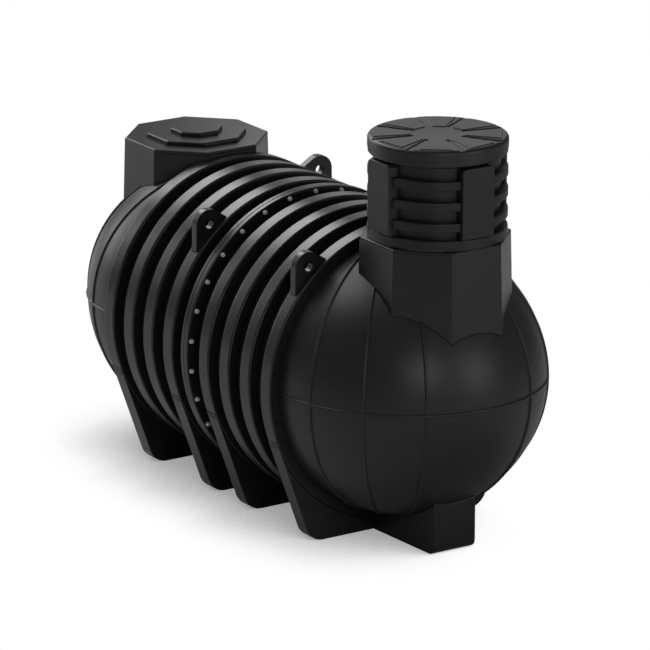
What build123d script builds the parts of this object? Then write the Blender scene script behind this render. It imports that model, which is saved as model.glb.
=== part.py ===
"""Underground fuel tank: a horizontal ribbed plastic tank of two bolted halves.

Millimetres. X runs along the tank, Z is up, and the origin lies on the ground under
the middle of the flange. Both halves come from one mould, and the rear half is the
front half turned round the Z axis. The front neck carries a riser with a lid, and
the rear neck keeps the closed top that it was moulded with.
"""
from build123d import *
import os
from math import cos, degrees, radians, sin, sqrt, tan

# Barrel
rib_radius = 750.0
groove_depth = 56.0
wall = 12.0
rib_width = 86.5
rib_pitch = 186.5
ribs_per_half = 4
rib_draft = 3.0
rib_edge_radius = 8.0
sole_thickness = 46.0

# Bolted flange
flange_height = 63.0
flange_thickness = 29.0
flange_edge = 4.0
flange_gap = 94.5
gasket_thickness = 3.0
gasket_recess = 5.0

# Domed ends with moulded beads
dome_collar = 57.0
dome_length = 706.0
bead_radius = 8.0
bead_angle = 22.5
beads_each_side = 3
bead_reach = 98.0

# Saddle feet and keels
saddle_angle = 20.0
saddle_corner_radius = 100.0
keel_inner_width = 282.0
keel_outer_width = 242.0
keel_length = 496.0
keel_drop = 430.0
keel_corner_radius = 40.0

# Octagonal necks
neck_offset = 311.0
neck_width = 688.0
neck_rise = 24.0
neck_draft = 1.5
neck_plate = 12.0
neck_cover = 17.5
neck_edge_radius = 5.0
cap_step_height = 20.0
cap_step_inset = 105.0
cap_top_inset = 115.0

# Riser, which stands a little outward of the middle of its neck
riser_shift = 14.0
riser_radius = 303.0
riser_wall = 10.0
riser_base_height = 53.0
riser_ring_depth = 35.5
riser_ring_height = 44.5
riser_ring_gap = 42.0
riser_ring_pitch = 102.8
riser_rings = 3
riser_top_gap = 65.0
riser_edge_radius = 5.0
pad_width = 182.0
pad_depth = 60.0
pad_stand_off = 6.5
pad_gap = 3.0
pad_top_gap = 6.0
pad_corner_radius = 22.0
pad_edge_radius = 6.0

# Lid and the clamp ring under it
lid_ring_height = 32.0
lid_ring_recess = 3.0
lid_ring_edge = 8.0
lid_overhang = 1.5
lid_height = 54.0
lid_edge_radius = 18.0
lid_wall = 10.0
lid_top_thickness = 24.0

# Raised sectors on the lid, with open channels and a pair of slots between them
lid_sectors = 8
lid_turn = -36.2
sector_height = 3.0
sector_half_angle = 14.0
sector_inner_radius = 132.0
sector_outer_radius = 316.0
channel_start = 124.0
channel_inner_width = 22.0
channel_outer_width = 34.0
channel_depth = 4.0
slot_width = 22.0
slot_depth = 14.0
slot_centre = 206.0
slot_length = 102.0
notch_centre = 302.0
notch_length = 28.0

# Lifting lugs
lug_thickness = 42.0
lug_angle = 42.5
lug_spread = 18.4
lug_eye_height = 40.0
lug_eye_shift = 29.0
lug_eye_diameter = 48.0
lug_head_radius = 74.0

# Places worked out from the sizes above
axis_height = rib_radius + sole_thickness
groove_radius = rib_radius - groove_depth
half_gasket = gasket_thickness / 2
flange_radius = groove_radius + flange_height
flange_face = half_gasket + flange_thickness
first_rib = flange_face + flange_gap + rib_width / 2
rib_centres = [first_rib + i * rib_pitch for i in range(ribs_per_half)]
end_rib = rib_centres[-1]
end_face = end_rib + rib_width / 2
dome_centre = end_face + dome_collar
neck_centre = end_face + neck_offset
riser_centre = neck_centre + riser_shift
neck_top = axis_height + rib_radius + neck_rise
neck_underside = neck_top - neck_plate
neck_depth = neck_underside - axis_height
riser_bore = riser_radius - riser_wall
ring_radius = riser_radius + riser_ring_depth
first_ring = riser_base_height + riser_ring_gap
ring_starts = [first_ring + i * riser_ring_pitch for i in range(riser_rings)]
riser_height = ring_starts[-1] + riser_ring_height + riser_top_gap

tank_plane = Plane(origin=(0, 0, axis_height), x_dir=(1, 0, 0), z_dir=(0, -1, 0))
tank_axis = Axis((0, 0, axis_height), (1, 0, 0))
riser_plane = Plane(origin=(riser_centre, 0, neck_top), x_dir=(1, 0, 0), z_dir=(0, -1, 0))
riser_axis = Axis((riser_centre, 0, neck_top), (0, 0, 1))

os.makedirs("parts", exist_ok=True)


def write(part, name):
    """Label a finished piece and write it as its own file."""
    part.label = name
    export_step(part, f"parts/{name}.step")


def write_rear(part, name):
    """Turn a front piece round the Z axis for the rear half and write it."""
    write(part.rotate(Axis.Z, 180), name)


# The inside of the neck, which is cut through all that the neck stands on.
with BuildPart() as neck_bore:
    with BuildSketch(Plane.XY.offset(neck_underside)):
        with Locations((neck_centre, 0)):
            RegularPolygon(neck_width / 2 - wall, 8, major_radius=False, rotation=22.5)
    extrude(amount=-neck_depth, taper=-neck_draft)

# Barrel wall of one half, a plain round shell from the gasket to the end face.
with BuildPart() as barrel:
    with BuildSketch(Plane.YZ.offset(half_gasket)):
        with Locations((0, axis_height)):
            Circle(groove_radius)
            Circle(groove_radius - wall, mode=Mode.SUBTRACT)
    extrude(amount=end_face - half_gasket)
    add(neck_bore.part, mode=Mode.SUBTRACT)
write(barrel.part, "barrel_front")
write_rear(barrel.part, "barrel_rear")

# Ribs round the barrel, with drafted flanks and rounded crests.
rib_foot = rib_width / 2 + groove_depth * tan(radians(rib_draft))
for index, centre in enumerate(rib_centres, start=1):
    with BuildPart() as rib:
        with BuildSketch(tank_plane) as rib_section:
            with BuildLine():
                Polyline(
                    (centre - rib_foot, groove_radius),
                    (centre - rib_width / 2, rib_radius),
                    (centre + rib_width / 2, rib_radius),
                    (min(centre + rib_foot, end_face), groove_radius),
                    close=True,
                )
            make_face()
            fillet(rib_section.vertices().group_by(Axis.Y)[-1], rib_edge_radius)
        revolve(axis=tank_axis)
        add(neck_bore.part, mode=Mode.SUBTRACT)
    write(rib.part, f"barrel_rib_{index}_front")
    write_rear(rib.part, f"barrel_rib_{index}_rear")

# Flange ring of one half, and the gasket between the two.
with BuildPart() as flange:
    with BuildSketch(Plane.YZ.offset(half_gasket)):
        with Locations((0, axis_height)):
            Circle(flange_radius)
            Circle(groove_radius, mode=Mode.SUBTRACT)
    extrude(amount=flange_thickness)
    rim_edges = flange.edges().filter_by(GeomType.CIRCLE).group_by(SortBy.RADIUS)[-1]
    chamfer(rim_edges.sort_by(Axis.X)[-1], flange_edge)
write(flange.part, "flange_front")
write_rear(flange.part, "flange_rear")

with BuildPart() as gasket:
    with BuildSketch(Plane.YZ.offset(-half_gasket)):
        with Locations((0, axis_height)):
            Circle(flange_radius - gasket_recess)
            Circle(groove_radius - wall, mode=Mode.SUBTRACT)
    extrude(amount=gasket_thickness)
write(gasket.part, "flange_gasket")


def dome_solid(length, radius):
    """A short round collar on the end face with half an ellipsoid beyond it."""
    with BuildPart() as solid:
        with BuildSketch(tank_plane):
            with BuildLine():
                Polyline((dome_centre, radius), (end_face, radius), (end_face, 0))
                Line((end_face, 0), (dome_centre + length, 0))
                EllipticalCenterArc((dome_centre, 0), length, radius, 0, arc_size=90)
            make_face()
        revolve(axis=tank_axis)
    return solid.part


# Outer form of the domed end: its beads run over the surface and stop at the end face.
dome_outer = dome_solid(dome_length, groove_radius)
dome_inner = dome_solid(dome_length - wall, groove_radius - wall)
with BuildPart() as dome_form:
    add(dome_outer)
    with BuildLine(Plane.XY.offset(axis_height)) as equator:
        EllipticalCenterArc(
            (dome_centre, 0), dome_length, groove_radius, -bead_reach, arc_size=2 * bead_reach
        )
    with BuildSketch(Plane(origin=equator.line @ 0, z_dir=equator.line % 0)):
        Circle(bead_radius)
    sweep(path=equator.line)
    for step in range(-beads_each_side, beads_each_side + 1):
        # Each upright bead lies in a plane through the upright line in the middle of the end rib.
        turn = radians(step * bead_angle)
        setback = end_rib - dome_centre
        slope = cos(turn) ** 2 / dome_length ** 2 + sin(turn) ** 2 / groove_radius ** 2
        middle = -setback * cos(turn) / dome_length ** 2 / slope
        share = 1 - (setback / dome_length) ** 2 + middle ** 2 * slope
        bead_plane = Plane(
            origin=(end_rib + middle * cos(turn), middle * sin(turn), axis_height),
            x_dir=(cos(turn), sin(turn), 0),
            z_dir=(sin(turn), -cos(turn), 0),
        )
        with BuildLine(bead_plane) as meridian:
            EllipticalCenterArc(
                (0, 0),
                sqrt(share / slope),
                groove_radius * sqrt(share),
                -bead_reach,
                arc_size=2 * bead_reach,
            )
        with BuildSketch(Plane(origin=meridian.line @ 0, z_dir=meridian.line % 0)):
            Circle(bead_radius)
        sweep(path=meridian.line)
    split(bisect_by=Plane.YZ.offset(end_face), keep=Keep.TOP)

with BuildPart() as dome:
    add(dome_form.part)
    add(dome_inner, mode=Mode.SUBTRACT)
    add(neck_bore.part, mode=Mode.SUBTRACT)
write(dome.part, "end_dome_front")
write_rear(dome.part, "end_dome_rear")

# Solid form of the end rib, on which the neck is seated.
with BuildPart() as end_rib_form:
    with BuildSketch(Plane.YZ.offset(end_face)):
        with Locations((0, axis_height)):
            Circle(rib_radius)
    extrude(amount=-rib_width)

# Octagonal neck wall, seated on the dome and on the end rib.
with BuildPart() as neck:
    with BuildSketch(Plane.XY.offset(neck_underside)):
        with Locations((neck_centre, 0)):
            RegularPolygon(neck_width / 2, 8, major_radius=False, rotation=22.5)
    extrude(amount=-neck_depth, taper=-neck_draft)
    add(neck_bore.part, mode=Mode.SUBTRACT)
    add(dome_form.part, mode=Mode.SUBTRACT)
    add(end_rib_form.part, mode=Mode.SUBTRACT)
write(neck.part, "neck_front")
write_rear(neck.part, "neck_rear")


def octagon_plate(width, bottom, height):
    """A flat octagonal plate over the neck, with its upper edges taken off."""
    with BuildPart() as plate:
        with BuildSketch(Plane.XY.offset(bottom)):
            with Locations((neck_centre, 0)):
                RegularPolygon(width / 2, 8, major_radius=False, rotation=22.5)
        extrude(amount=height)
        chamfer(plate.edges().group_by(Axis.Z)[-1], neck_edge_radius)
    return plate.part


# The front neck is cut open to the width of the riser.
rim_plate = octagon_plate(neck_width, neck_underside, neck_plate)
with BuildPart() as neck_rim:
    add(rim_plate)
    with BuildSketch(Plane.XY.offset(neck_underside)):
        with Locations((riser_centre, 0)):
            Circle(riser_bore)
    extrude(amount=neck_plate, mode=Mode.SUBTRACT)
write(neck_rim.part, "neck_rim_front")

# The rear neck is closed by a cover with two steps on it.
cap_width = neck_width - 2 * cap_step_inset
cap_top_width = cap_width - 2 * cap_top_inset
cap_bottom = neck_underside + neck_cover
cap_step = cap_bottom + cap_step_height
write_rear(octagon_plate(neck_width, neck_underside, neck_cover), "neck_cover_rear")
write_rear(octagon_plate(cap_width, cap_bottom, cap_step_height), "neck_cap_rear")
write_rear(octagon_plate(cap_top_width, cap_step, cap_step_height), "neck_cap_step_rear")

# Saddle feet: the rib outline runs straight down from the barrel to a flat sole.
saddle_tangent = (
    rib_radius * cos(radians(saddle_angle)),
    axis_height - rib_radius * sin(radians(saddle_angle)),
)
saddle_sole = saddle_tangent[0] - saddle_tangent[1] * tan(radians(saddle_angle))
saddle_places = {"saddle_inner": rib_centres[0], "saddle_outer": end_rib}
for name, place in saddle_places.items():
    with BuildPart() as saddle:
        with BuildSketch(Plane.YZ.offset(place - rib_width / 2)) as saddle_sketch:
            with BuildLine():
                Polyline(
                    saddle_tangent,
                    (saddle_sole, 0),
                    (-saddle_sole, 0),
                    (-saddle_tangent[0], saddle_tangent[1]),
                    close=True,
                )
            make_face()
            fillet(saddle_sketch.vertices().group_by(Axis.Y)[0], saddle_corner_radius)
            with Locations((0, axis_height)):
                Circle(rib_radius, mode=Mode.SUBTRACT)
        extrude(amount=rib_width)
    write(saddle.part, f"{name}_front")
    write_rear(saddle.part, f"{name}_rear")

# Keel block that carries the domed end, from the outer saddle outward.
keel_end = end_face + keel_length
with BuildPart() as keel:
    with BuildSketch(Plane.XY):
        with BuildLine():
            Polyline(
                (end_face, -keel_inner_width / 2),
                (keel_end, -keel_outer_width / 2),
                (keel_end, keel_outer_width / 2),
                (end_face, keel_inner_width / 2),
                close=True,
            )
        make_face()
    extrude(amount=axis_height - keel_drop)
    sole_edges = keel.faces().sort_by(Axis.Z)[0].edges()
    fillet(sole_edges.sort_by(Axis.X)[-1], keel_corner_radius)
    add(dome_form.part, mode=Mode.SUBTRACT)
write(keel.part, "keel_front")
write_rear(keel.part, "keel_rear")

# Lifting lugs: one half carries one on its end rib and one on its first rib, crosswise.
eye_radius = rib_radius + lug_eye_height
eye_angle = lug_angle - degrees(lug_eye_shift / eye_radius)


def around(radius, angle):
    """A point on the near flank, at an angle from the top of the tank."""
    return (-radius * sin(radians(angle)), axis_height + radius * cos(radians(angle)))


for name, place, near in (("outer", end_rib, True), ("inner", rib_centres[0], False)):
    with BuildPart() as lug:
        with BuildSketch(Plane.YZ.offset(place - lug_thickness / 2)):
            with BuildLine():
                Line(
                    around(rib_radius, lug_angle - lug_spread / 2),
                    around(rib_radius, lug_angle + lug_spread / 2),
                )
                CenterArc(around(eye_radius, eye_angle), lug_head_radius, 0, 360)
            make_hull()
            with Locations(around(eye_radius, eye_angle)):
                Circle(lug_eye_diameter / 2, mode=Mode.SUBTRACT)
            with Locations((0, axis_height)):
                Circle(rib_radius, mode=Mode.SUBTRACT)
        extrude(amount=lug_thickness)
        if not near:
            mirror(about=Plane.XZ, mode=Mode.REPLACE)
    write(lug.part, f"lifting_lug_{name}_front")
    write_rear(lug.part, f"lifting_lug_{name}_rear")

# Riser: a round shaft that stands on the front neck.
with BuildPart() as riser:
    with BuildSketch(Plane.XY.offset(neck_top)):
        with Locations((riser_centre, 0)):
            Circle(riser_radius)
            Circle(riser_bore, mode=Mode.SUBTRACT)
    extrude(amount=riser_height)
write(riser.part, "riser")

# The collar at its base and the stiffening rings above it.
ring_places = {"base": (0.0, riser_base_height)}
for index, start in enumerate(ring_starts, start=1):
    ring_places[str(index)] = (start, riser_ring_height)
ring_parts = []
for name, (start, height) in ring_places.items():
    with BuildPart() as ring:
        with BuildSketch(Plane.XY.offset(neck_top + start)):
            with Locations((riser_centre, 0)):
                Circle(ring_radius)
                Circle(riser_radius, mode=Mode.SUBTRACT)
        extrude(amount=height)
        crest_edges = ring.edges().filter_by(GeomType.CIRCLE).group_by(SortBy.RADIUS)[-1]
        fillet(crest_edges, riser_edge_radius)
    ring_parts.append(ring.part)
    write(ring.part, f"riser_ring_{name}")

# Flat pads on the four sides, moulded round the shaft and its rings.
pad_bottom = riser_base_height + pad_gap
pad_height = riser_height - pad_top_gap - pad_bottom
with BuildPart() as pad:
    with BuildSketch(Plane.XY.offset(neck_top + pad_bottom)):
        with Locations((riser_centre + ring_radius + pad_stand_off, 0)):
            Rectangle(pad_depth, pad_width, align=(Align.MAX, Align.CENTER))
    extrude(amount=pad_height)
    fillet(pad.edges().filter_by(Axis.X).group_by(Axis.Z)[-1], pad_corner_radius)
    fillet(pad.faces().sort_by(Axis.X)[-1].edges(), pad_edge_radius)
    with BuildSketch(Plane.XY.offset(neck_top)):
        with Locations((riser_centre, 0)):
            Circle(riser_radius)
    extrude(amount=riser_height, mode=Mode.SUBTRACT)
    for ring_part in ring_parts:
        add(ring_part, mode=Mode.SUBTRACT)
for index, name in enumerate(("outer", "far", "inner", "near")):
    write(pad.part.rotate(riser_axis, index * 90), f"riser_pad_{name}")

# Clamp ring on top of the riser.
lid_radius = ring_radius + lid_overhang
with BuildPart() as lid_ring:
    with BuildSketch(Plane.XY.offset(neck_top + riser_height)):
        with Locations((riser_centre, 0)):
            Circle(lid_radius - lid_ring_recess)
            Circle(riser_bore, mode=Mode.SUBTRACT)
    extrude(amount=lid_ring_height)
    chamfer(lid_ring.edges().group_by(Axis.Z)[0].sort_by(SortBy.RADIUS)[-1], lid_ring_edge)
write(lid_ring.part, "lid_ring")

# Lid: a shallow cap with raised sectors, channels that run out over its edge, and slots.
lid_bottom = riser_height + lid_ring_height
lid_face = lid_bottom + lid_height
lid_ceiling = lid_face - lid_top_thickness
sector_corners = [
    (radius * cos(radians(angle)), radius * sin(radians(angle)))
    for radius, angle in (
        (sector_inner_radius, -sector_half_angle),
        (sector_outer_radius, -sector_half_angle),
        (sector_outer_radius, sector_half_angle),
        (sector_inner_radius, sector_half_angle),
    )
]
channel_corners = [
    (channel_start, -channel_inner_width / 2),
    (lid_radius, -channel_outer_width / 2),
    (lid_radius, channel_outer_width / 2),
    (channel_start, channel_inner_width / 2),
]
channel_turn = lid_turn + 180 / lid_sectors
slot_turn = channel_turn + 360 / lid_sectors
slots = ((slot_centre, slot_length), (notch_centre, notch_length))
with BuildPart() as lid:
    with BuildSketch(riser_plane):
        with BuildLine():
            Polyline(
                (0, lid_face),
                (lid_radius, lid_face),
                (lid_radius, lid_bottom),
                (lid_radius - lid_wall, lid_bottom),
                (lid_radius - lid_wall, lid_ceiling),
                (0, lid_ceiling),
                close=True,
            )
        make_face()
    revolve(axis=riser_axis)
    fillet(lid.edges().group_by(Axis.Z)[-1], lid_edge_radius)
    with BuildSketch(Plane.XY.offset(neck_top + lid_face)):
        with Locations((riser_centre, 0)):
            with PolarLocations(0, lid_sectors, start_angle=lid_turn):
                Polygon(*sector_corners, align=None)
    extrude(amount=sector_height)
    with BuildSketch(Plane.XY.offset(neck_top + lid_face)):
        with Locations((riser_centre, 0)):
            with PolarLocations(0, lid_sectors, start_angle=channel_turn):
                Polygon(*channel_corners, align=None)
    extrude(amount=-channel_depth, mode=Mode.SUBTRACT)
    with BuildSketch(Plane.XY.offset(neck_top + lid_face - channel_depth)):
        with Locations((riser_centre, 0)):
            with PolarLocations(0, 2, start_angle=slot_turn):
                for place, length in slots:
                    with Locations((place, 0)):
                        SlotOverall(length, slot_width)
    extrude(amount=-slot_depth, mode=Mode.SUBTRACT)
write(lid.part, "lid")
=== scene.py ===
from math import cos, pi, radians, sin

import bpy
from bpy.props import FloatProperty, FloatVectorProperty, IntProperty, PointerProperty, StringProperty
from mathutils import Matrix, Vector


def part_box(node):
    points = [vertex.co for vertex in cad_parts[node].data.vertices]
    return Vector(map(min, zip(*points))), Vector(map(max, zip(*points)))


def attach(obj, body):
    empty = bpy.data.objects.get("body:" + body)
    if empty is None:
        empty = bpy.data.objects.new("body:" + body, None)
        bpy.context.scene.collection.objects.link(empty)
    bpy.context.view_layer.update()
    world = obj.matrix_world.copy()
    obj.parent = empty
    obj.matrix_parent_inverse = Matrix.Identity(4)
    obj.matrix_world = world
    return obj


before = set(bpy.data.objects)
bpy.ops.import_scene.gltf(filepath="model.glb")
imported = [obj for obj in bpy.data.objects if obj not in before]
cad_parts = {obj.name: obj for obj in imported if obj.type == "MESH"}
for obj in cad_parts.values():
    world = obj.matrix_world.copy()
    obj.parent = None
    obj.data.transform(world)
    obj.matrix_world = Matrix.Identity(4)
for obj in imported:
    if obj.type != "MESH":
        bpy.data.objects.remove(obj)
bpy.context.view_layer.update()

bl_info = {
    "name": "Underground Fuel Tank Finish",
    "version": (1, 0, 0),
    "blender": (4, 5, 0),
    "location": "View3D > Sidebar > Tank",
    "description": "Moulded plastic finishes, flange bolts and a studio for a ribbed tank of two halves",
    "category": "Object",
}

BODY = "root"
FLANGE_LOW, FLANGE_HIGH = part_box("flange_front")
FLANGE_REAR_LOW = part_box("flange_rear")[0]
FLANGE_RADIUS = FLANGE_HIGH.y
AXIS_HEIGHT = (FLANGE_LOW.z + FLANGE_HIGH.z) / 2

# The nodes that share each moulding.
HALVES = ("front", "rear")
SHELL_NODES = (
    *(f"{piece}_{half}" for half in HALVES for piece in (
        "barrel", "barrel_rib_1", "barrel_rib_2", "barrel_rib_3", "barrel_rib_4", "flange", "neck",
        "saddle_inner", "saddle_outer", "keel", "lifting_lug_inner", "lifting_lug_outer",
    )),
    "neck_rim_front", "neck_cover_rear", "neck_cap_rear", "neck_cap_step_rear",
)
DOME_NODES = ("end_dome_front", "end_dome_rear")
RISER_NODES = (
    "riser", "riser_ring_base", "riser_ring_1", "riser_ring_2", "riser_ring_3",
    "riser_pad_outer", "riser_pad_far", "riser_pad_inner", "riser_pad_near",
)
LID_NODES = ("lid_ring", "lid")
GASKET_NODES = ("flange_gasket",)

# Half the width of the studio floor.
FLOOR_HALF = 30.0
# The shadow probe leans this way, which lays more of the shadow on the left.
SHADOW_LEAN = {"X": 0.33, "Y": 0.5, "Z": 0.8}
# What the soft boxes look at, and where each stands and how wide it is.
STUDIO_AIM = (0, 0, 0.9)
SOFT_BOXES = {
    "left": ((-12.0, -3.5, 4.0), 5.0),
    "key": ((-12.0, 1.3, 9.0), 6.0),
    "side": ((-6.0, -4.5, 12.0), 6.0),
    "end": ((10.0, 4.0, 3.0), 4.0),
    "front": ((9.0, -3.0, 3.5), 3.0),
    "far": ((-9.0, 8.0, 5.0), 5.0),
}


def linear(hex_colour):
    """Turn an sRGB hex colour into the linear colour that a shader socket takes."""
    channels = [int(hex_colour[i:i + 2], 16) / 255 for i in (1, 3, 5)]
    return [c / 12.92 if c <= 0.04045 else ((c + 0.055) / 1.055) ** 2.4 for c in channels] + [1.0]


def add_node(tree, kind, inputs=None, **settings):
    """Add one node with its settings, and set each named or numbered input to a value or a link."""
    node = tree.nodes.new(kind)
    for name, value in settings.items():
        setattr(node, name, value)
    for name, value in (inputs or {}).items():
        if isinstance(value, bpy.types.NodeSocket):
            tree.links.new(value, node.inputs[name])
        else:
            node.inputs[name].default_value = value
    return node


def new_material(name):
    """Make an empty node material and return it with its tree."""
    material = bpy.data.materials.new(name)
    material.use_nodes = True
    material.node_tree.nodes.clear()
    return material, material.node_tree


def moulded_polyethylene(name, colour, dust_and_top_light_colour, roughness, edge):
    """Rotationally moulded polyethylene, coloured through.

    The wall cools against a blasted mould, so the skin is satin with a fine peel, and it
    shrinks unevenly, so broad highlights waver a little. Faces that look up turn paler in
    clouds, partly as dust and partly as painted light from above. Edges look rounded, so they
    catch a thin line of light.
    """
    material, tree = new_material(name)
    place = add_node(tree, "ShaderNodeTexCoord").outputs["Object"]
    # Uneven cooling, about 220 mm from wave to wave.
    waves = add_node(tree, "ShaderNodeTexNoise", {"Vector": place, "Scale": 1 / 0.22, "Detail": 2.0})
    # The peel of the real skin is about 1 mm; it is drawn at 6 mm so that it shows.
    peel = add_node(tree, "ShaderNodeTexNoise", {"Vector": place, "Scale": 1 / 0.006, "Detail": 3.0})
    # Clouds, about 400 mm across, of dust and of painted light on upward faces.
    clouds = add_node(
        tree, "ShaderNodeTexNoise", {"Vector": place, "Scale": 1 / 0.4, "Detail": 6.0, "Roughness": 0.6}
    )
    normal = add_node(tree, "ShaderNodeNewGeometry").outputs["Normal"]
    upward = add_node(tree, "ShaderNodeSeparateXYZ", {"Vector": normal}).outputs["Z"]
    # Upward faces are painted paler in clouds: partly dust, partly painted light from above.
    level = add_node(
        tree, "ShaderNodeMapRange",
        {"Value": upward, "From Min": 0.1, "From Max": 1.0, "To Min": 0.0, "To Max": 0.6},
    )
    dust_and_top_light = add_node(
        tree, "ShaderNodeMath", {0: level.outputs["Result"], 1: clouds.outputs["Fac"]}, operation="MULTIPLY"
    )
    base = add_node(
        tree, "ShaderNodeMix",
        {"Factor": dust_and_top_light.outputs["Value"], "A": linear(colour), "B": linear(dust_and_top_light_colour)}, data_type="RGBA",
    )
    sheen = add_node(
        tree, "ShaderNodeMapRange",
        {"Value": clouds.outputs["Fac"], "From Min": 0.3, "From Max": 0.7,
         "To Min": roughness - 0.04, "To Max": roughness + 0.05},
    )
    rounded = add_node(tree, "ShaderNodeBevel", {"Radius": edge}, samples=8)
    wavy = add_node(
        tree, "ShaderNodeBump",
        {"Height": waves.outputs["Fac"], "Normal": rounded.outputs["Normal"], "Strength": 0.5,
         "Distance": 0.004},
    )
    skin = add_node(
        tree, "ShaderNodeBump",
        {"Height": peel.outputs["Fac"], "Normal": wavy.outputs["Normal"], "Strength": 0.3,
         "Distance": 0.0006},
    )
    plastic = add_node(
        tree, "ShaderNodeBsdfPrincipled",
        {"Base Color": base.outputs["Result"], "Roughness": sheen.outputs["Result"], "IOR": 1.51,
         "Normal": skin.outputs["Normal"]},
    )
    add_node(tree, "ShaderNodeOutputMaterial", {"Surface": plastic.outputs["BSDF"]})
    return material


def extruded_rubber(name, colour):
    """Extruded EPDM rubber: deep black and dull, with the fine grain of a cut edge."""
    material, tree = new_material(name)
    place = add_node(tree, "ShaderNodeTexCoord").outputs["Object"]
    # The cut grain of about 2 mm.
    grain = add_node(tree, "ShaderNodeTexNoise", {"Vector": place, "Scale": 1 / 0.002, "Detail": 2.0})
    bump = add_node(
        tree, "ShaderNodeBump", {"Height": grain.outputs["Fac"], "Strength": 0.4, "Distance": 0.0003}
    )
    rubber = add_node(
        tree, "ShaderNodeBsdfPrincipled",
        {"Base Color": linear(colour), "Roughness": 0.75, "IOR": 1.52, "Normal": bump.outputs["Normal"]},
    )
    add_node(tree, "ShaderNodeOutputMaterial", {"Surface": rubber.outputs["BSDF"]})
    return material


def zinc_plated_steel(name, colour):
    """Bright zinc on pressed steel: pale, with soft blotches where the plating is thicker.

    It is drawn with little metal in it, because full metal would only mirror the dark tank.
    """
    material, tree = new_material(name)
    place = add_node(tree, "ShaderNodeTexCoord").outputs["Object"]
    # Blotches of about 5 mm.
    blotches = add_node(tree, "ShaderNodeTexNoise", {"Vector": place, "Scale": 1 / 0.005, "Detail": 4.0})
    sheen = add_node(
        tree, "ShaderNodeMapRange", {"Value": blotches.outputs["Fac"], "To Min": 0.4, "To Max": 0.6}
    )
    rounded = add_node(tree, "ShaderNodeBevel", {"Radius": 0.001}, samples=4)
    bump = add_node(
        tree, "ShaderNodeBump",
        {"Height": blotches.outputs["Fac"], "Normal": rounded.outputs["Normal"], "Strength": 0.2,
         "Distance": 0.0002},
    )
    steel = add_node(
        tree, "ShaderNodeBsdfPrincipled",
        {"Base Color": linear(colour), "Metallic": 0.1, "Roughness": sheen.outputs["Result"],
         "Normal": bump.outputs["Normal"]},
    )
    add_node(tree, "ShaderNodeOutputMaterial", {"Surface": steel.outputs["BSDF"]})
    return material


def paint(nodes, material):
    """Give each named CAD node one material."""
    for name in nodes:
        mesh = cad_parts[name].data
        mesh.materials.clear()
        mesh.materials.append(material)


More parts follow.
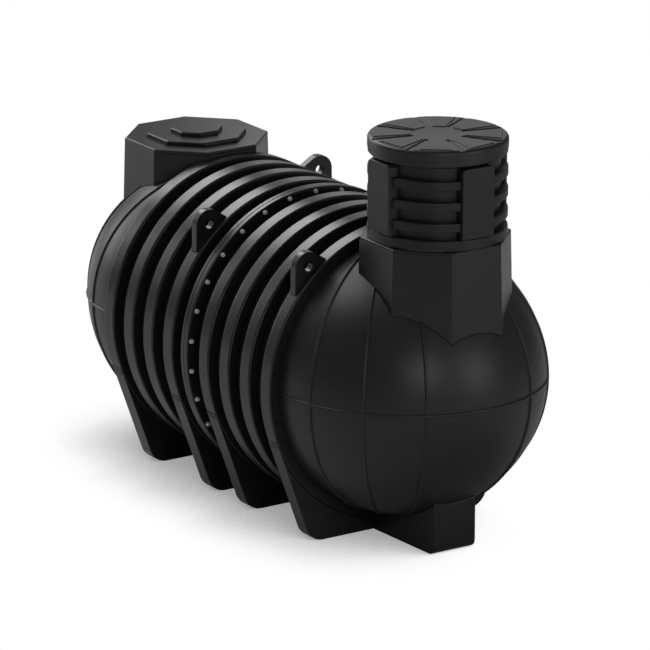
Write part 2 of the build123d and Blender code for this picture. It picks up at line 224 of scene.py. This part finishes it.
def bolt_circle_tree():
    """Geometry Nodes for one row of fasteners round the flange, heads on one face and nuts on the other."""
    tree = bpy.data.node_groups.new("flange_bolt_circle", "GeometryNodeTree")
    face = tree.interface
    face.new_socket("Geometry", in_out="OUTPUT", socket_type="NodeSocketGeometry")
    sizes = {
        "Count": "NodeSocketInt", "Circle Radius": "NodeSocketFloat", "Axis Height": "NodeSocketFloat",
        "Head Face": "NodeSocketFloat", "Nut Face": "NodeSocketFloat", "Width": "NodeSocketFloat",
        "Head Height": "NodeSocketFloat", "Washer Width": "NodeSocketFloat",
        "Washer Height": "NodeSocketFloat", "Thread Width": "NodeSocketFloat",
        "Thread Length": "NodeSocketFloat", "Seed": "NodeSocketInt", "Material": "NodeSocketMaterial",
    }
    for name, kind in sizes.items():
        face.new_socket(name, in_out="INPUT", socket_type=kind)
    given = add_node(tree, "NodeGroupInput").outputs

    def half(value):
        return add_node(tree, "ShaderNodeMath", {0: value, 1: 0.5}, operation="MULTIPLY").outputs[0]

    def total(first, second):
        return add_node(tree, "ShaderNodeMath", {0: first, 1: second}, operation="ADD").outputs[0]

    def disc(vertices, radius, height, middle):
        """A short prism along Z, with its middle at a height."""
        shape = add_node(
            tree, "GeometryNodeMeshCylinder", {"Vertices": vertices, "Radius": radius, "Depth": height}
        )
        at = add_node(tree, "ShaderNodeCombineXYZ", {"Z": middle})
        return add_node(
            tree, "GeometryNodeTransform",
            {"Geometry": shape.outputs["Mesh"], "Translation": at.outputs["Vector"]},
        ).outputs["Geometry"]

    # A hexagon that is a given width across its flats is wider by this across its corners.
    corners = add_node(
        tree, "ShaderNodeMath", {0: given["Width"], 1: 0.5 / cos(pi / 6)}, operation="MULTIPLY"
    ).outputs[0]
    washer = disc(24, half(given["Washer Width"]), given["Washer Height"], half(given["Washer Height"]))
    hexagon = disc(
        6, corners, given["Head Height"], total(given["Washer Height"], half(given["Head Height"]))
    )
    crown = disc(
        18, half(given["Thread Width"]), given["Thread Length"],
        total(total(given["Washer Height"], given["Head Height"]), half(given["Thread Length"])),
    )
    head = add_node(tree, "GeometryNodeJoinGeometry", {"Geometry": washer})
    tree.links.new(hexagon, head.inputs["Geometry"])
    nut = add_node(tree, "GeometryNodeJoinGeometry", {"Geometry": washer})
    tree.links.new(hexagon, nut.inputs["Geometry"])
    tree.links.new(crown, nut.inputs["Geometry"])

    ring = add_node(
        tree, "GeometryNodeMeshCircle", {"Vertices": given["Count"], "Radius": given["Circle Radius"]}
    ).outputs["Mesh"]
    both = add_node(tree, "GeometryNodeJoinGeometry")
    rows = (("Head Face", head, radians(90), 0), ("Nut Face", nut, radians(-90), 1))
    for socket, shape, turn, row in rows:
        centre = add_node(tree, "ShaderNodeCombineXYZ", {"X": given[socket], "Z": given["Axis Height"]})
        upright = add_node(
            tree, "GeometryNodeTransform",
            {"Geometry": ring, "Rotation": (0, radians(90), 0), "Translation": centre.outputs["Vector"]},
        )
        lying = add_node(
            tree, "GeometryNodeTransform",
            {"Geometry": shape.outputs["Geometry"], "Rotation": (0, turn, 0)},
        )
        spin = add_node(
            tree, "FunctionNodeRandomValue",
            {"Min": (0, 0, 0), "Max": (radians(60), 0, 0),
             "ID": add_node(tree, "GeometryNodeInputIndex").outputs[0], "Seed": total(given["Seed"], row)},
            data_type="FLOAT_VECTOR",
        )
        placed = add_node(
            tree, "GeometryNodeInstanceOnPoints",
            {"Points": upright.outputs["Geometry"], "Instance": lying.outputs["Geometry"],
             "Rotation": spin.outputs[0]},
        )
        tree.links.new(placed.outputs["Instances"], both.inputs["Geometry"])
    real = add_node(tree, "GeometryNodeRealizeInstances", {"Geometry": both.outputs["Geometry"]})
    finish = add_node(
        tree, "GeometryNodeSetMaterial",
        {"Geometry": real.outputs["Geometry"], "Material": given["Material"]},
    )
    add_node(tree, "NodeGroupOutput", {"Geometry": finish.outputs["Geometry"]})
    return tree


def made_by_nodes(name, tree, inputs):
    """Run a node tree on an empty mesh, keep its result as a plain mesh and return the object."""
    maker = bpy.data.objects.new(name, bpy.data.meshes.new(name))
    bpy.context.collection.objects.link(maker)
    modifier = maker.modifiers.new("Build", "NODES")
    modifier.node_group = tree
    for item in tree.interface.items_tree:
        if item.in_out == "INPUT" and item.name in inputs:
            modifier[item.identifier] = inputs[item.name]
    evaluated = maker.evaluated_get(bpy.context.evaluated_depsgraph_get())
    mesh = bpy.data.meshes.new_from_object(evaluated)
    maker.modifiers.remove(modifier)
    maker.data = mesh
    return maker


class TankColours(bpy.types.PropertyGroup):
    shell: StringProperty(name="Shell", description="Colour of the tank halves", default="#1e1e1e")
    riser: StringProperty(name="Riser", description="Colour of the riser", default="#171717")
    lid: StringProperty(name="Lid", description="Colour of the lid and its ring", default="#222222")
    # The paler colour of upward faces: partly dust, partly painted light from above.
    dust_and_top_light: StringProperty(name="Dust", description="Colour of the dust on upward faces", default="#464645")
    gasket: StringProperty(name="Gasket", description="Colour of the gasket", default="#0e0e0e")
    steel: StringProperty(name="Fasteners", description="Colour of the plated steel", default="#f4f4f0")
    shell_roughness: FloatProperty(
        name="Shell Roughness", description="Roughness of the tank halves", default=0.31,
        min=0.0, max=1.0, subtype="FACTOR",
    )
    dome_roughness: FloatProperty(
        name="Dome Roughness", description="Roughness of the domed ends", default=0.40,
        min=0.0, max=1.0, subtype="FACTOR",
    )
    riser_roughness: FloatProperty(
        name="Riser Roughness", description="Roughness of the riser", default=0.44,
        min=0.0, max=1.0, subtype="FACTOR",
    )
    lid_roughness: FloatProperty(
        name="Lid Roughness", description="Roughness of the lid and its ring", default=0.40,
        min=0.0, max=1.0, subtype="FACTOR",
    )
    edge: FloatProperty(
        name="Edge Radius", description="How far the moulded edges look rounded", default=0.007,
        min=0.0, unit="LENGTH",
    )


class TankFasteners(bpy.types.PropertyGroup):
    count: IntProperty(name="Count", description="Bolts round the flange", default=30, min=3)
    inset: FloatProperty(
        name="Inset", description="From the flange edge to the bolt circle",
        default=0.021, unit="LENGTH",
    )
    width: FloatProperty(
        name="Width", description="Across the flats of heads and nuts", default=0.017, unit="LENGTH",
    )
    head_height: FloatProperty(
        name="Head Height", description="Height of heads and nuts", default=0.009, unit="LENGTH",
    )
    washer_width: FloatProperty(
        name="Washer Width", description="Diameter of the washers", default=0.024, unit="LENGTH",
    )
    washer_height: FloatProperty(
        name="Washer Height", description="Thickness of the washers", default=0.0025, unit="LENGTH",
    )
    thread_width: FloatProperty(
        name="Thread Width", description="Diameter of the bolt thread", default=0.012, unit="LENGTH",
    )
    thread_length: FloatProperty(
        name="Thread Length", description="Thread beyond each nut", default=0.006, unit="LENGTH",
    )
    seed: IntProperty(name="Seed", description="How the hexagons happen to be turned", default=4)


class TankStudio(bpy.types.PropertyGroup):
    camera_place: FloatVectorProperty(
        name="Camera Place", description="Where the camera stands", default=(21.1166, -13.8806, 8.5413),
        subtype="TRANSLATION", unit="LENGTH",
    )
    azimuth: FloatProperty(
        name="Azimuth", description="Angle of the view round the tank", default=radians(56.532),
        subtype="ANGLE",
    )
    elevation: FloatProperty(
        name="Elevation", description="Angle of the view above the floor", default=radians(16.974),
        subtype="ANGLE",
    )
    roll: FloatProperty(
        name="Roll", description="Turn of the camera about its own line of sight", default=radians(0.142),
        subtype="ANGLE",
    )
    lens: FloatProperty(name="Lens", description="Focal length", default=291.85, unit="CAMERA")
    left_power: FloatProperty(
        name="Left Power", description="Broad soft box behind on the left", default=220.0, unit="POWER",
    )
    key_power: FloatProperty(
        name="Key Power", description="High soft box over the closed neck", default=560.0, unit="POWER",
    )
    side_power: FloatProperty(
        name="Side Power", description="High soft box on the left", default=360.0, unit="POWER",
    )
    end_power: FloatProperty(
        name="End Power", description="Soft box beyond the domed end", default=110.0, unit="POWER",
    )
    front_power: FloatProperty(
        name="Front Power", description="Soft box in front of the domed end", default=75.0, unit="POWER",
    )
    far_power: FloatProperty(
        name="Far Power", description="Weak soft box on the far side", default=60.0, unit="POWER",
    )
    room_light: FloatProperty(name="Room Light", description="Even light from all sides", default=0.11)
    floor: StringProperty(name="Floor", description="Colour of the floor", default="#f2f2f2")
    shadow: StringProperty(
        name="Shadow", description="Colour of the floor where the tank closes it in", default="#6a6a6a",
    )
    shadow_reach: FloatProperty(
        name="Shadow Reach", description="How far from the tank its soft shadow fades out", default=0.65,
        unit="LENGTH",
    )


class TANK_OT_finish_shell(bpy.types.Operator):
    """Give both tank halves, their necks, feet and lugs their moulded finish"""

    bl_idname = "tank.finish_shell"
    bl_label = "Finish Shell"

    def execute(self, context):
        colours = context.scene.tank_colours
        material = moulded_polyethylene(
            "rotomoulded_polyethylene_shell", colours.shell, colours.dust_and_top_light,
            colours.shell_roughness, colours.edge,
        )
        paint(SHELL_NODES, material)
        # The beads of the domes are small, so a wide edge would wash them out.
        domes = moulded_polyethylene(
            "rotomoulded_polyethylene_dome", colours.shell, colours.dust_and_top_light,
            colours.dome_roughness, colours.edge / 6,
        )
        paint(DOME_NODES, domes)
        return {"FINISHED"}


class TANK_OT_finish_riser(bpy.types.Operator):
    """Give the riser, its pads and the lid their moulded finish"""

    bl_idname = "tank.finish_riser"
    bl_label = "Finish Riser and Lid"

    def execute(self, context):
        colours = context.scene.tank_colours
        riser = moulded_polyethylene(
            "rotomoulded_polyethylene_riser", colours.riser, colours.dust_and_top_light,
            colours.riser_roughness, colours.edge / 2,
        )
        paint(RISER_NODES, riser)
        lid = moulded_polyethylene(
            "moulded_polyethylene_lid", colours.lid, colours.dust_and_top_light,
            colours.lid_roughness, colours.edge / 2,
        )
        paint(LID_NODES, lid)
        return {"FINISHED"}


class TANK_OT_finish_gasket(bpy.types.Operator):
    """Give the gasket between the halves its rubber finish"""

    bl_idname = "tank.finish_gasket"
    bl_label = "Finish Gasket"

    def execute(self, context):
        paint(GASKET_NODES, extruded_rubber("extruded_epdm_gasket", context.scene.tank_colours.gasket))
        return {"FINISHED"}


class TANK_OT_add_bolts(bpy.types.Operator):
    """Bolt the two flanges together"""

    bl_idname = "tank.add_bolts"
    bl_label = "Add Flange Bolts"

    def execute(self, context):
        sizes = context.scene.tank_fasteners
        bolts = made_by_nodes(
            "flange_bolts",
            bolt_circle_tree(),
            {
                "Count": sizes.count,
                "Circle Radius": FLANGE_RADIUS - sizes.inset,
                "Axis Height": AXIS_HEIGHT,
                "Head Face": FLANGE_HIGH.x,
                "Nut Face": FLANGE_REAR_LOW.x,
                "Width": sizes.width,
                "Head Height": sizes.head_height,
                "Washer Width": sizes.washer_width,
                "Washer Height": sizes.washer_height,
                "Thread Width": sizes.thread_width,
                "Thread Length": sizes.thread_length,
                "Seed": sizes.seed,
                "Material": zinc_plated_steel("zinc_plated_steel", context.scene.tank_colours.steel),
            },
        )
        if not bolts.data.polygons:
            raise RuntimeError("the flange bolts came out empty")
        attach(bolts, BODY)
        return {"FINISHED"}


def soft_box(name, place, aim, width, power):
    """A square soft box that looks at a point."""
    light = bpy.data.lights.new(name, "AREA")
    light.shape = "SQUARE"
    light.size = width
    light.energy = power
    lamp = bpy.data.objects.new(name, light)
    lamp.location = place
    lamp.rotation_mode = "QUATERNION"
    lamp.rotation_quaternion = (Vector(aim) - Vector(place)).to_track_quat("-Z", "Y")
    bpy.context.collection.objects.link(lamp)


def painted_floor(studio):
    """A pale floor, white to the camera, with a soft shadow where the tank closes it in."""
    material, tree = new_material("painted_studio_floor")
    place = add_node(tree, "ShaderNodeTexCoord").outputs["Object"]
    cloth = add_node(tree, "ShaderNodeTexNoise", {"Vector": place, "Scale": 1 / 0.05})
    bump = add_node(
        tree, "ShaderNodeBump", {"Height": cloth.outputs["Fac"], "Strength": 0.1, "Distance": 0.0005}
    )
    paint_coat = add_node(
        tree, "ShaderNodeBsdfDiffuse", {"Color": linear(studio.floor), "Normal": bump.outputs["Normal"]}
    )
    lean = add_node(tree, "ShaderNodeCombineXYZ", SHADOW_LEAN)
    openness = add_node(
        tree, "ShaderNodeAmbientOcclusion",
        {"Distance": studio.shadow_reach, "Normal": lean.outputs["Vector"]}, samples=8,
    )
    soft = add_node(
        tree, "ShaderNodeMapRange",
        {"Value": openness.outputs["AO"], "From Min": -0.1, "From Max": 0.75},
        interpolation_type="SMOOTHSTEP",
    )
    shade = add_node(
        tree, "ShaderNodeMix",
        {"Factor": soft.outputs["Result"], "A": linear(studio.shadow), "B": linear("#ffffff")},
        data_type="RGBA",
    )
    seen_floor = add_node(tree, "ShaderNodeEmission", {"Color": shade.outputs["Result"], "Strength": 1.0})
    path = add_node(tree, "ShaderNodeLightPath")
    mixed = add_node(
        tree, "ShaderNodeMixShader",
        {0: path.outputs["Is Camera Ray"], 1: paint_coat.outputs["BSDF"], 2: seen_floor.outputs["Emission"]},
    )
    add_node(tree, "ShaderNodeOutputMaterial", {"Surface": mixed.outputs["Shader"]})
    mesh = bpy.data.meshes.new("studio_floor")
    corners = [(x * FLOOR_HALF, y * FLOOR_HALF, 0) for x, y in ((-1, -1), (1, -1), (1, 1), (-1, 1))]
    mesh.from_pydata(corners, [], [(0, 1, 2, 3)])
    mesh.materials.append(material)
    floor = bpy.data.objects.new("studio_floor", mesh)
    bpy.context.collection.objects.link(floor)


def studio_room(studio):
    """Even light from all sides, and a white backdrop that only the camera sees."""
    world = bpy.data.worlds.new("studio_room")
    world.use_nodes = True
    tree = world.node_tree
    tree.nodes.clear()
    path = add_node(tree, "ShaderNodeLightPath")
    room = add_node(
        tree, "ShaderNodeBackground", {"Color": linear("#ffffff"), "Strength": studio.room_light}
    )
    backdrop = add_node(tree, "ShaderNodeBackground", {"Color": linear("#ffffff"), "Strength": 1.0})
    seen = add_node(
        tree, "ShaderNodeMixShader",
        {0: path.outputs["Is Camera Ray"], 1: room.outputs["Background"], 2: backdrop.outputs["Background"]},
    )
    add_node(tree, "ShaderNodeOutputWorld", {"Surface": seen.outputs["Shader"]})
    bpy.context.scene.world = world


def studio_camera(studio):
    """The camera at the measured place and angle."""
    camera = bpy.data.cameras.new("studio_camera")
    camera.sensor_width = 36.0
    camera.lens = studio.lens
    camera.clip_start, camera.clip_end = 1.0, 200.0
    shooter = bpy.data.objects.new("studio_camera", camera)
    bpy.context.collection.objects.link(shooter)
    azimuth, elevation = studio.azimuth, studio.elevation
    back = Vector((sin(azimuth) * cos(elevation), -cos(azimuth) * cos(elevation), sin(elevation)))
    level = Vector((cos(azimuth), sin(azimuth), 0))
    rise = back.cross(level)
    right = cos(studio.roll) * level + sin(studio.roll) * rise
    up = cos(studio.roll) * rise - sin(studio.roll) * level
    turn = Matrix((right, up, back)).transposed().to_4x4()
    shooter.matrix_world = Matrix.Translation(Vector(studio.camera_place)) @ turn
    bpy.context.scene.camera = shooter


class TANK_OT_build_studio(bpy.types.Operator):
    """Set up the floor, the lights and the camera"""

    bl_idname = "tank.build_studio"
    bl_label = "Build Studio"

    def execute(self, context):
        studio = context.scene.tank_studio
        painted_floor(studio)
        studio_room(studio)
        for name, (place, width) in SOFT_BOXES.items():
            soft_box(f"{name}_softbox", place, STUDIO_AIM, width, getattr(studio, f"{name}_power"))
        studio_camera(studio)
        context.scene.view_settings.view_transform = "Standard"
        return {"FINISHED"}


class TANK_PT_panel(bpy.types.Panel):
    bl_label = "Underground Fuel Tank"
    bl_idname = "TANK_PT_panel"
    bl_space_type = "VIEW_3D"
    bl_region_type = "UI"
    bl_category = "Tank"

    def draw(self, context):
        for group in (context.scene.tank_colours, context.scene.tank_fasteners, context.scene.tank_studio):
            box = self.layout.box()
            for name in group.__annotations__:
                box.prop(group, name)
        for operator in OPERATORS:
            self.layout.operator(operator.bl_idname)


GROUPS = {
    "tank_colours": TankColours,
    "tank_fasteners": TankFasteners,
    "tank_studio": TankStudio,
}
OPERATORS = (
    TANK_OT_finish_shell,
    TANK_OT_finish_riser,
    TANK_OT_finish_gasket,
    TANK_OT_add_bolts,
    TANK_OT_build_studio,
)


def register():
    for group in (*GROUPS.values(), *OPERATORS, TANK_PT_panel):
        bpy.utils.register_class(group)
    for name, group in GROUPS.items():
        setattr(bpy.types.Scene, name, PointerProperty(type=group))


def unregister():
    for name in GROUPS:
        delattr(bpy.types.Scene, name)
    for group in (TANK_PT_panel, *OPERATORS[::-1], *GROUPS.values()):
        bpy.utils.unregister_class(group)


def main():
    register()
    bpy.ops.tank.finish_shell()
    bpy.ops.tank.finish_riser()
    bpy.ops.tank.finish_gasket()
    bpy.ops.tank.add_bolts()
    bpy.ops.tank.build_studio()


if __name__ == "__main__":
    main()
